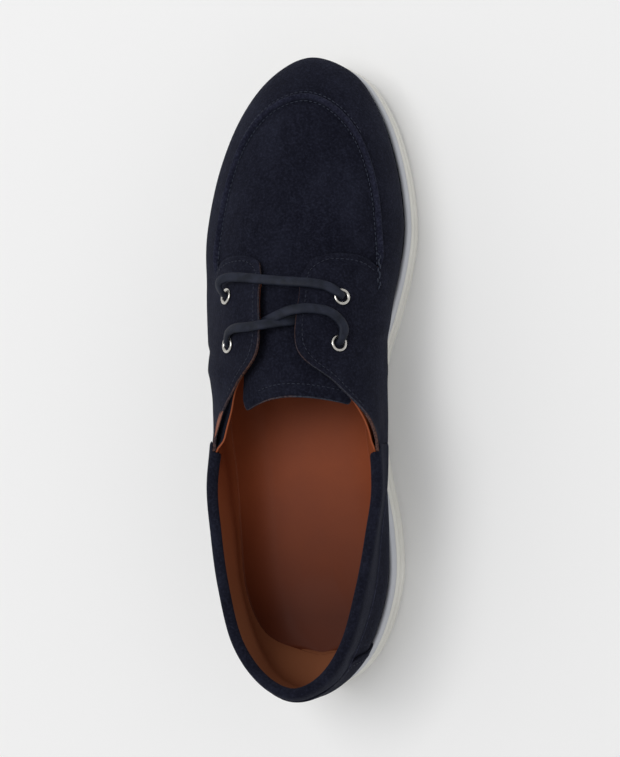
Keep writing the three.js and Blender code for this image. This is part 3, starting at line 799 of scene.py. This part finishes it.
front_y = np.repeat(front_rows[:, None], len(side_share), 1)
medial_x = np.interp(front_rows, seam_medial[:, 1], seam_medial[:, 0])
lateral_x = np.interp(front_rows, seam_lateral[:, 1], seam_lateral[:, 0])
front_x = (lateral_x + medial_x)[:, None] / 2 + (medial_x - lateral_x)[:, None] / 2 * side_share
back_y = UNDER_TABS + (tongue_end(side_share) - UNDER_TABS) * back_share[:, None]
half_at, shift_at = column_at(ARCHES, "half", back_y), column_at(ARCHES, "shift", back_y)
back_x = shift_at + half_at * side_share
joined = 1 - fade(UNDER_TABS - back_y, 0, 12)  # the two halves' widths are eased together
back_x = back_x * (1 - joined) + front_x[-1] * joined
apron_x, apron_y = np.concatenate([front_x, back_x]), np.concatenate([front_y, back_y])
flat_x, flat_y = apron_x.ravel(), apron_y.ravel()
apron_z = arch_z(flat_x, flat_y)
ahead = flat_y > ON_FACE_FROM[0] - 1
ahead_y = flat_y[ahead]
over_u, over_v = places_over(flat_x[ahead], ahead_y)
drop = APRON_DROP["deep"] * (1 - fade(ahead_y, *APRON_DROP["y"])) * fade(over_v, *APRON_DROP["levels"])
drop += VALLEY["deep"] * (1 - fade(over_v, *VALLEY["levels"])) * fade(ahead_y, *VALLEY["y"])
on_face = skin(over_u, over_v, -drop)[:, 2]
weight = fade(ahead_y, *ON_FACE_FROM)
apron_z[ahead] = apron_z[ahead] * (1 - weight) + on_face * weight
apron_points = np.column_stack([flat_x, flat_y, apron_z]).reshape(len(apron_x), len(side_share), 3)
apron = build("apron_and_tongue", [grid(apron_points, flip=True)], [navy_suede, cut_edge])
give_thickness(apron, SUEDE_THICK, rim_slot=1)
finish_piece(apron, "suede", "tongue")
bead("tongue_edge", apron_points[-1], TONGUE_BEAD, cut_edge, "suede")

# ------------------------------------------------------------------ apron seam
# The vamp's edge is folded up against the apron as a rim 3 mm wide, and sewn through by hand with waxed navy
# thread. A zigzag tack holds its medial end, and a second row shows outside it round the toe.
RIM = {"start": 9.1, "stations": 700, "pitch": 2.2, "pucker": 0.09, "taper": 8.0}
RIM_SECTION = table("side up", [
    (-1.9, -0.9), (-1.65, -0.1), (-1.35, 0.7), (-0.8, 1.35), (-0.15, 1.6),
    (0.5, 1.35), (0.95, 0.7), (1.15, -0.2), (1.25, -1.6),
])
THREAD = {"pitch": 2.2, "length": 1.75, "thick": 0.55}
TACK = {"pitch": 1.9, "length": 2.2, "thick": 0.7}
INNER_ROW = {"inside": 1.95, "sunk": 0.25}
OUTER_ROW = {"outside": 2.35, "up": 0.05, "spokes": (12.1, 16.0)}
TACK_ROUTE = {"start": 9.62, "long": 0.95, "sides": (0.13, 0.03), "out": 1.0, "falls": 0.4, "turns": 9}


def lengths(points):
    """Distance along a line of points."""
    return np.concatenate([[0], np.cumsum(np.linalg.norm(np.diff(points, axis=0), axis=1))])


rim_u = np.linspace(RIM["start"], SPOKES - RIM["start"], RIM["stations"])
rim_middle = face(rim_u, MID)
rim_normal = unit(face_normal(rim_u, 3.12) + face_normal(rim_u, 2.9))
rim_along = unit(np.gradient(rim_middle, axis=0))
rim_inward = unit(np.cross(rim_normal, rim_along))
rim_run = lengths(rim_middle)
swell = 1 + RIM["pucker"] * np.cos(2 * np.pi * rim_run / RIM["pitch"])
rim_full = (0.25 + 0.75 * fade(np.minimum(rim_run, rim_run[-1] - rim_run), 0, RIM["taper"]))[:, None]
sunk = -0.5 * (1 - rim_full)
rim_rows = []
for rim_side, rim_up in zip(*RIM_SECTION.values()):
    rim_height = rim_up * rim_full * (swell[:, None] if rim_up > 0.5 else 1) + sunk
    rim_rows.append(rim_middle + rim_inward * rim_side * rim_full + rim_normal * rim_height)
rim_rows = np.array(rim_rows)
# the rim's suede is painted lighter all along: a painted highlight where light catches the raised rim
rim = build("apron_rim", [
    grid(np.concatenate([rim_rows, rim_rows[:1]])),
    grid(cap(rim_rows[:, 0]), wrap=True, flip=True),
    grid(cap(rim_rows[:, -1]), wrap=True),
], [suede("rim_suede_painted_highlight", 1.75, 2.0)])
finish_piece(rim, "suede")


def stitch_tree():
    """Stitches along a line: short rounded threads, one for each pitch."""
    tree = bpy.data.node_groups.new("stitches", "GeometryNodeTree")
    tree.interface.new_socket("Line", in_out="INPUT", socket_type="NodeSocketGeometry")
    for name in ("Pitch", "Length", "Thick"):
        tree.interface.new_socket(name, in_out="INPUT", socket_type="NodeSocketFloat")
    tree.interface.new_socket("Thread", in_out="INPUT", socket_type="NodeSocketMaterial")
    tree.interface.new_socket("Stitches", in_out="OUTPUT", socket_type="NodeSocketGeometry")

    def add(kind, **settings):
        new = tree.nodes.new(kind)
        for key_name, value in settings.items():
            setattr(new, key_name, value)
        return new
    given, made = add("NodeGroupInput"), add("NodeGroupOutput")
    curve = add("GeometryNodeMeshToCurve")
    spaced = add("GeometryNodeResampleCurve", mode="LENGTH")
    tangent = add("GeometryNodeInputTangent")
    turn = add("FunctionNodeAlignRotationToVector", axis="Z")
    ball = add("GeometryNodeMeshUVSphere")
    ball.inputs["Segments"].default_value = 6
    ball.inputs["Rings"].default_value = 6
    ball.inputs["Radius"].default_value = 0.5
    size = add("ShaderNodeCombineXYZ")
    shaped = add("GeometryNodeTransform")
    vary = add("FunctionNodeRandomValue", data_type="FLOAT_VECTOR")
    vary.inputs["Min"].default_value = (0.88, 0.88, 0.85)
    vary.inputs["Max"].default_value = (1.1, 1.1, 1.08)
    vary.inputs["Seed"].default_value = 7
    placed = add("GeometryNodeInstanceOnPoints")
    real = add("GeometryNodeRealizeInstances")
    dressed = add("GeometryNodeSetMaterial")
    for a_socket, b_socket in (
        (given.outputs["Line"], curve.inputs["Mesh"]),
        (curve.outputs["Curve"], spaced.inputs["Curve"]),
        (given.outputs["Pitch"], spaced.inputs["Length"]),
        (tangent.outputs["Tangent"], turn.inputs["Vector"]),
        (given.outputs["Thick"], size.inputs["X"]),
        (given.outputs["Thick"], size.inputs["Y"]),
        (given.outputs["Length"], size.inputs["Z"]),
        (ball.outputs["Mesh"], shaped.inputs["Geometry"]),
        (size.outputs["Vector"], shaped.inputs["Scale"]),
        (spaced.outputs["Curve"], placed.inputs["Points"]),
        (shaped.outputs["Geometry"], placed.inputs["Instance"]),
        (turn.outputs["Rotation"], placed.inputs["Rotation"]),
        (vary.outputs["Value"], placed.inputs["Scale"]),
        (placed.outputs["Instances"], real.inputs["Geometry"]),
        (real.outputs["Geometry"], dressed.inputs["Geometry"]),
        (given.outputs["Thread"], dressed.inputs["Material"]),
        (dressed.outputs["Geometry"], made.inputs["Stitches"]),
    ):
        tree.links.new(a_socket, b_socket)
    return tree


STITCHES = stitch_tree()


def sew(name, lines, thread, pitch, length, thick):
    """Rows of stitches along lines of points in millimetres, as one plain mesh."""
    points, edges = [], []
    for line in lines:
        edges += [(len(points) + i, len(points) + i + 1) for i in range(len(line) - 1)]
        points += ((np.asarray(line) + SHIFT) * MM).tolist()
    drawn_line = bpy.data.meshes.new(name)
    drawn_line.from_pydata(points, edges, [])
    drawn_object = bpy.data.objects.new(name + "_line", drawn_line)
    SCENE.collection.objects.link(drawn_object)
    made = drawn_object.modifiers.new("stitches", "NODES")
    made.node_group = STITCHES
    values = {"Pitch": pitch * MM, "Length": length * MM, "Thick": thick * MM, "Thread": thread}
    for item in STITCHES.interface.items_tree:
        if item.in_out == "INPUT" and item.name in values:
            made[item.identifier] = values[item.name]
    seen = drawn_object.evaluated_get(bpy.context.evaluated_depsgraph_get())
    mesh = bpy.data.meshes.new_from_object(seen)
    mesh.name = name
    bpy.data.objects.remove(drawn_object)
    mesh.polygons.foreach_set("use_smooth", [True] * len(mesh.polygons))
    piece = bpy.data.objects.new(name, mesh)
    SCENE.collection.objects.link(piece)
    finish_piece(piece, "suede")


def thread_material(name, colour):
    made = new_material(name, colour, 0.6, Specular_IOR_Level=0.3)
    twist = object_noise(made, 2400, 2)
    shade = tuple(0.45 * c for c in colour)
    paint(made, ramp(made, twist, (0.35, shade), (0.65, colour)))
    rough_between(made, twist, 0.5, 0.7)
    bump(made, (twist, 0.15, 0.5))
    return made


navy_thread = thread_material("navy_thread", (0.023, 0.03, 0.054))
inner_row = rim_middle + rim_inward * INNER_ROW["inside"] - rim_normal * INNER_ROW["sunk"]
toe_part = (rim_u > OUTER_ROW["spokes"][0]) & (rim_u < OUTER_ROW["spokes"][1])
outer_row = (rim_middle - rim_inward * OUTER_ROW["outside"] + rim_normal * OUTER_ROW["up"])[toe_part]
sew("apron_stitches", [inner_row[6:-6], outer_row], navy_thread, **THREAD)

# the tack crosses the seam's medial end from side to side
tack_s = np.linspace(0, 1, TACK_ROUTE["turns"])
tack_u = TACK_ROUTE["start"] - TACK_ROUTE["long"] * tack_s
tack_side = np.where(np.arange(TACK_ROUTE["turns"]) % 2 == 0, *TACK_ROUTE["sides"])
tack_points = skin(tack_u, MID + tack_side, TACK_ROUTE["out"] - TACK_ROUTE["falls"] * tack_s)
tack_line = np.concatenate([np.linspace(p, q, 3)[:2] for p, q in zip(tack_points[:-1], tack_points[1:])])
sew("tack_stitches", [tack_line], navy_thread, **TACK)

# ------------------------------------------------------------------ edge stitching
# A row of machine stitches 2 mm inside the quarters' and tabs' edges, and one along the tongue's free edge.
EDGE_THREAD = {"pitch": 2.2, "length": 1.55, "thick": 0.44}
EDGE_ROW = {"level": 4.85, "end": 9.43, "from_front": 0.19, "lift": 0.12}
TAB_CORNER = {"spoke": 9.3, "level": 4.42, "wide": 0.48, "tall": 0.43}
TONGUE_ROW = {"from_edge": 5.6, "lateral": -0.62, "medial": 0.86, "lift": 0.1}


def inside_edge(medial):
    """The row that follows a quarter's top edge, the tab's corner and the tab's front edge."""
    along_top = COLLAR_START + np.linspace(0.06, 1, 90) * (EDGE_ROW["end"] - COLLAR_START)
    rows = [(u, EDGE_ROW["level"]) for u in along_top if u < TAB_CORNER["spoke"]]
    for angle in np.linspace(0, math.pi / 2, 14):
        rows.append((TAB_CORNER["spoke"] + TAB_CORNER["wide"] * math.sin(angle),
                     TAB_CORNER["level"] + TAB_CORNER["tall"] * math.cos(angle)))
    for v in np.linspace(4.38, 3.25, 40):
        rows.append((float(column_at(TAB_FRONT, "spoke", v)) - EDGE_ROW["from_front"], v))
    u, v = np.array(rows).T
    out = tab_out(u, v) + creases(u, v) + EDGE_ROW["lift"]
    return skin(u if medial else SPOKES - u, v, out)


row_share = np.linspace(TONGUE_ROW["lateral"], TONGUE_ROW["medial"], 60)
row_y = tongue_end(row_share) + TONGUE_ROW["from_edge"]
row_x = column_at(ARCHES, "shift", row_y) + column_at(ARCHES, "half", row_y) * row_share
tongue_row = np.column_stack([row_x, row_y, arch_z(row_x, row_y) + TONGUE_ROW["lift"]])
edge_thread = thread_material("edge_thread", (0.02, 0.025, 0.045))
sew("edge_stitches", [inside_edge(True), inside_edge(False)], edge_thread, **EDGE_THREAD)
sew("tongue_stitches", [tongue_row], edge_thread, **EDGE_THREAD)

# ------------------------------------------------------------------ heel collar
# A roll of foam under navy suede, from notch to notch round the heel. The suede turns over the top to the
# lining inside, and its lower edge lies proud of the quarter.
COLLAR = {"stations": 190, "clear": 0.01, "ease": 0.07, "slant": 0.2, "core": -1.3}
COLLAR_SECTION = table("level out", [
    (2.97, -0.6), (2.96, 0.9), (2.965, 1.7), (3.0, 1.85), (3.06, 1.72), (3.13, 1.4), (3.4, 1.45),
    (3.8, 1.5), (4.2, 1.45), (4.55, 1.3), (4.8, 0.95), (4.94, 0.2), (4.99, -0.9), (4.98, -2.0),
    (4.92, -3.1), (4.84, -3.85), (4.75, -4.2), (4.66, -4.2), (4.63, -3.3), (3.9, -1.6), (3.4, -1.0),
])
COLLAR_DENTS = table("u v wide tall out", [
    (1.75, 3.5, 0.10, 0.5, -0.8),
    (1.3, 3.8, 0.35, 0.7, 0.5),
    (2.6, 3.4, 0.5, 0.5, 0.3),
    (4.2, 3.6, 0.5, 0.6, -0.3),
    (25.6, 3.6, 0.4, 0.6, -0.35),
    (23.5, 3.8, 0.4, 0.6, 0.3),
    (0, 3.5, 1.3, 0.7, -0.8),
])
collar_end = COLLAR_START - COLLAR["clear"]
spread = 0.45 * math.pi
collar_u = collar_end * np.sin(np.linspace(-spread, spread, COLLAR["stations"])) / math.sin(spread)
roll = []
for level, out in zip(*COLLAR_SECTION.values()):
    outside = float(fade(out, -1.0, 0.6) * (1 - fade(level, 4.5, 5.0)))
    section_u = collar_u * (1 + COLLAR["slant"] * outside / collar_end)
    short = np.clip((collar_end - np.abs(collar_u)) / COLLAR["ease"], 0, 1)
    full = 0.8 + 0.2 * np.sqrt(1 - (1 - short) ** 2)
    here = COLLAR["core"] + (out - COLLAR["core"]) * full
    if out > 0:
        here += creases(section_u % SPOKES, level, COLLAR_DENTS)
    roll.append(skin(section_u % SPOKES, level, here))
roll = np.array(roll)
raw = slice(1, 5)  # the rows of the lower, raw edge
# the raw edge's rows take a much lighter suede: partly its raw fibres' own colour, partly a painted highlight
# along the edge
collar = build("heel_collar_roll", [
    grid(roll[:raw.start + 1]),
    grid(roll[raw], slot=1),
    grid(np.concatenate([roll[raw.stop - 1:], roll[:1]])),
    grid(cap(roll[:, 0]), wrap=True, flip=True),
    grid(cap(roll[:, -1]), wrap=True),
], [navy_suede, suede("raw_edge_suede_and_highlight", 2.6)])
smooth_collar = collar.modifiers.new("soften", "SUBSURF")
smooth_collar.levels = 1
smooth_collar.render_levels = 1
finish_piece(collar, "suede", "heel_collar")

# ------------------------------------------------------------------ heel patch
# A second layer of suede over the back seam, from the collar's back down into the sole. It is held by a row
# of stitches along each edge.
PATCH = {"foot": 1.1, "top": 4.25, "out": 1.25, "thick": 0.9, "over_collar": 0.45, "row_inside": 0.16}
# its half width at rising levels
PATCH_HALF = table("y spokes", [
    (1.1, 1.95), (2, 1.9), (2.6, 1.75), (3.1, 1.5), (3.5, 1.28), (3.9, 1.0), (4.15, 0.7), (4.25, 0.35),
])
patch_share = np.linspace(0, 1, 40)[:, None]
patch_v = PATCH["foot"] + (PATCH["top"] - PATCH["foot"]) * patch_share
patch_half = column_at(PATCH_HALF, "spokes", patch_v)
patch_u = np.linspace(-1, 1, 81) * patch_half
patch_v = patch_v + 0 * patch_u
patch_out = PATCH["out"] + PATCH["over_collar"] * fade(patch_v, 2.75, 3.05)
patch_points = skin(patch_u % SPOKES, patch_v, patch_out + creases(patch_u % SPOKES, patch_v))
patch = build("heel_patch_suede", [grid(patch_points)], [navy_suede, cut_edge])
give_thickness(patch, PATCH["thick"])
finish_piece(patch, "suede", "heel_patch")
row_half = patch_half[:, 0] - PATCH["row_inside"]
row_out = patch_out[:, 0] + 0.1
patch_rows = [skin((side * row_half) % SPOKES, patch_v[:, 0], row_out)[2:-4] for side in (1, -1)]
sew("patch_stitches", patch_rows, edge_thread, **EDGE_THREAD)

# ------------------------------------------------------------------ eyelets
# Four rings of polished nickel, each with a barrel that goes down through the tab. They are clinched over
# the suede.
EYELETS = {
    "front_medial": (24.1, 35.3),
    "rear_medial": (23.8, 15.1),
    "front_lateral": (-28.7, 36.6),
    "rear_lateral": (-26.5, 15.1),
}
RING = table("radius height", [
    (2.15, -2.6), (2.5, -2.6), (2.6, -0.5), (2.75, 0.05), (3.45, 0.05), (3.66, 0.2), (3.7, 0.42),
    (3.55, 0.68), (3.2, 0.86), (2.85, 0.84), (2.5, 0.62), (2.28, 0.25), (2.15, -0.3), (2.15, -2.6),
])
RING_SIDES = 48
nickel = new_material("nickel", (0.66, 0.64, 0.6), 0.22, Metallic=1.0)
scuffs = object_noise(nickel, 700, 4)
paint(nickel, ramp(nickel, scuffs, (0.3, (0.5, 0.48, 0.44)), (0.6, (0.68, 0.66, 0.62))))
rough_between(nickel, scuffs, 0.16, 0.34)
bump(nickel, (scuffs, 0.05, 0.3))
holes = {}
for name, (x, y) in EYELETS.items():
    u, v = places_over(np.array([x]), np.array([y]))
    normal = face_normal(u, v)[0]
    centre = skin(u, v, tab_out(u, v) + creases(u, v) + 0.25)[0]
    holes[name] = (centre, normal)
    one = unit(np.cross(normal, (0, 1, 0)))
    two = np.cross(normal, one)
    angles = np.linspace(0, 2 * math.pi, RING_SIDES, endpoint=False)
    spin = np.cos(angles)[:, None] * one + np.sin(angles)[:, None] * two
    rows = np.array([centre + spin * r + normal * h for r, h in zip(RING["radius"], RING["height"])])
    ring_piece = build("ring_" + name, [grid(rows, wrap=True)], [nickel])
    finish_piece(ring_piece, "nickel", "eyelet_" + name)

# ------------------------------------------------------------------ lace
# A flat waxed cord in navy, a shade greyer than the suede. One bar joins the front eyelets, and two strands
# cross between the tabs behind it. Each end goes down through its eyelet.
# in_hole: its width and thickness in an eyelet, which it leaves over the distances at full_again
LACE = {"wide": 4.4, "thick": 2.2, "in_hole": (3.0, 2.4), "full_again": (6.0, 13.0), "squareness": 0.8}
INSTEP_SLOPE = 0.34
# the routes are along the middle of the cord, outside the eyelets
FRONT_BAR = [
    (19.3, 39.8, 72.6), (13, 41.4, 74.9), (7.5, 41.9, 76.3), (0, 42.5, 76.7), (-8, 43.3, 76),
    (-13, 43.9, 74.9), (-21, 44.8, 72.6), (-27.5, 44.8, 70.9), (-31, 43.2, 70.3),
]
FRONT_TURN = (-31.6, 40.6, 69.3)
MEDIAL_STRAND = [
    (26.4, 20.8, 73.4), (25.4, 24, 73.5), (22.8, 27.2, 74.9), (19, 29.4, 76.8), (12.9, 30.4, 79.4),
    (8.3, 30.2, 81.3), (3.5, 29.3, 81.9), (-1, 27.7, 80.9), (-5.5, 25.9, 79.5), (-9.5, 24.4, 76.7),
    (-13.5, 23.2, 73.9),
]
LATERAL_STRAND = [
    (-26.2, 19.6, 75.2), (-24.6, 21.2, 76.3), (-21.8, 22.3, 78.2), (-18, 22.6, 80.5), (-14.2, 22.8, 81.9),
    (-10.5, 23.2, 83.3), (-7.2, 23.7, 82.6), (-3, 24.3, 81), (1, 24.9, 79.2), (5, 25.3, 77),
    (8.5, 25.6, 74.7), (11.5, 25.9, 73.3),
]
SECTION_SIDES = 20


def smooth_route(route, step=0.6):
    """A Catmull-Rom line through a route, sampled about every step."""
    route = np.asarray(route, float)
    padded_route = np.concatenate([[2 * route[0] - route[1]], route, [2 * route[-1] - route[-2]]])
    out = []
    for i in range(len(route) - 1):
        count = max(2, int(np.linalg.norm(route[i + 1] - route[i]) / step))
        for f in np.arange(count) / count:
            out.append(between(*padded_route[i:i + 4], f))
    return np.array([*out, route[-1]])


def carried_sides(line, first_side):
    """A side direction carried along a line without twist."""
    along = unit(np.gradient(line, axis=0))
    sides = [unit(first_side - along[0] * (first_side @ along[0]))]
    for direction in along[1:]:
        sides.append(unit(sides[-1] - direction * (sides[-1] @ direction)))
    return np.array(sides)


def cord_parts(route, hole_end=False):
    """The cord along a route that starts in an eyelet, and may end in one, where it is squeezed."""
    line = smooth_route(route)
    middle_index = len(line) // 2
    along = unit(np.gradient(line, axis=0))
    side_there = unit(np.cross(along[middle_index], (0, INSTEP_SLOPE, 1)))
    ahead_sides = carried_sides(line[middle_index:], side_there)
    behind_sides = carried_sides(line[middle_index::-1], side_there)
    sides = np.concatenate([behind_sides[:0:-1], ahead_sides])
    rise = np.cross(sides, along)
    run = lengths(line)
    squeeze = 1 - fade(run, *LACE["full_again"])
    if hole_end:
        squeeze = np.maximum(squeeze, 1 - fade(run[-1] - run, *LACE["full_again"]))
    wide = LACE["wide"] + (LACE["in_hole"][0] - LACE["wide"]) * squeeze
    thick = LACE["thick"] + (LACE["in_hole"][1] - LACE["thick"]) * squeeze
    rows = []
    for angle in np.linspace(0, 2 * math.pi, SECTION_SIDES, endpoint=False):
        c, s = math.cos(angle), math.sin(angle)
        c, s = [math.copysign(abs(k) ** LACE["squareness"], k) for k in (c, s)]
        rows.append(line + sides * (c * wide / 2)[:, None] + rise * (s * thick / 2)[:, None])
    rows = np.array(rows).transpose(1, 0, 2)
    return [
        grid(rows, wrap=True, flip=True),
        grid(cap(rows[0]), wrap=True),
        grid(cap(rows[-1]), wrap=True, flip=True),
    ]


def into_hole(name, towards, rise=1.6, lean=1.2):
    """Points that lead a cord out of an eyelet, from inside the tab."""
    centre, normal = holes[name]
    lean_to = unit(np.asarray(towards, float) - centre)
    return [centre - 6 * normal, centre - 2.5 * normal, centre + 0.4 * normal + 0.3 * lean_to,
            centre + rise * normal + lean * lean_to]


lace_leather = new_material("lace", (0.016, 0.017, 0.026), 0.6, Specular_IOR_Level=0.22)
wax = object_noise(lace_leather, 240, 4)
strands = object_noise(lace_leather, 1600, 3)
paint(lace_leather, ramp(lace_leather, wax, (0.36, (0.004, 0.006, 0.013)), (0.64, (0.0125, 0.0155, 0.029))))
rough_between(lace_leather, wax, 0.52, 0.7)
bump(lace_leather, (strands, 0.2, 0.7))

bar_route = into_hole("front_medial", FRONT_BAR[0]) + FRONT_BAR
bar_route += [FRONT_TURN] + into_hole("front_lateral", FRONT_TURN, 0.9)[::-1]
bar = build("lace_bar", cord_parts(bar_route, hole_end=True), [lace_leather])
finish_piece(bar, "lace", "lace_front_bar")
strand_parts = cord_parts(into_hole("rear_medial", MEDIAL_STRAND[0]) + MEDIAL_STRAND)
strand_parts += cord_parts(into_hole("rear_lateral", LATERAL_STRAND[0], 0.7, 1.6) + LATERAL_STRAND)
crossing = build("lace_strands", strand_parts, [lace_leather])
finish_piece(crossing, "lace", "lace_crossing")
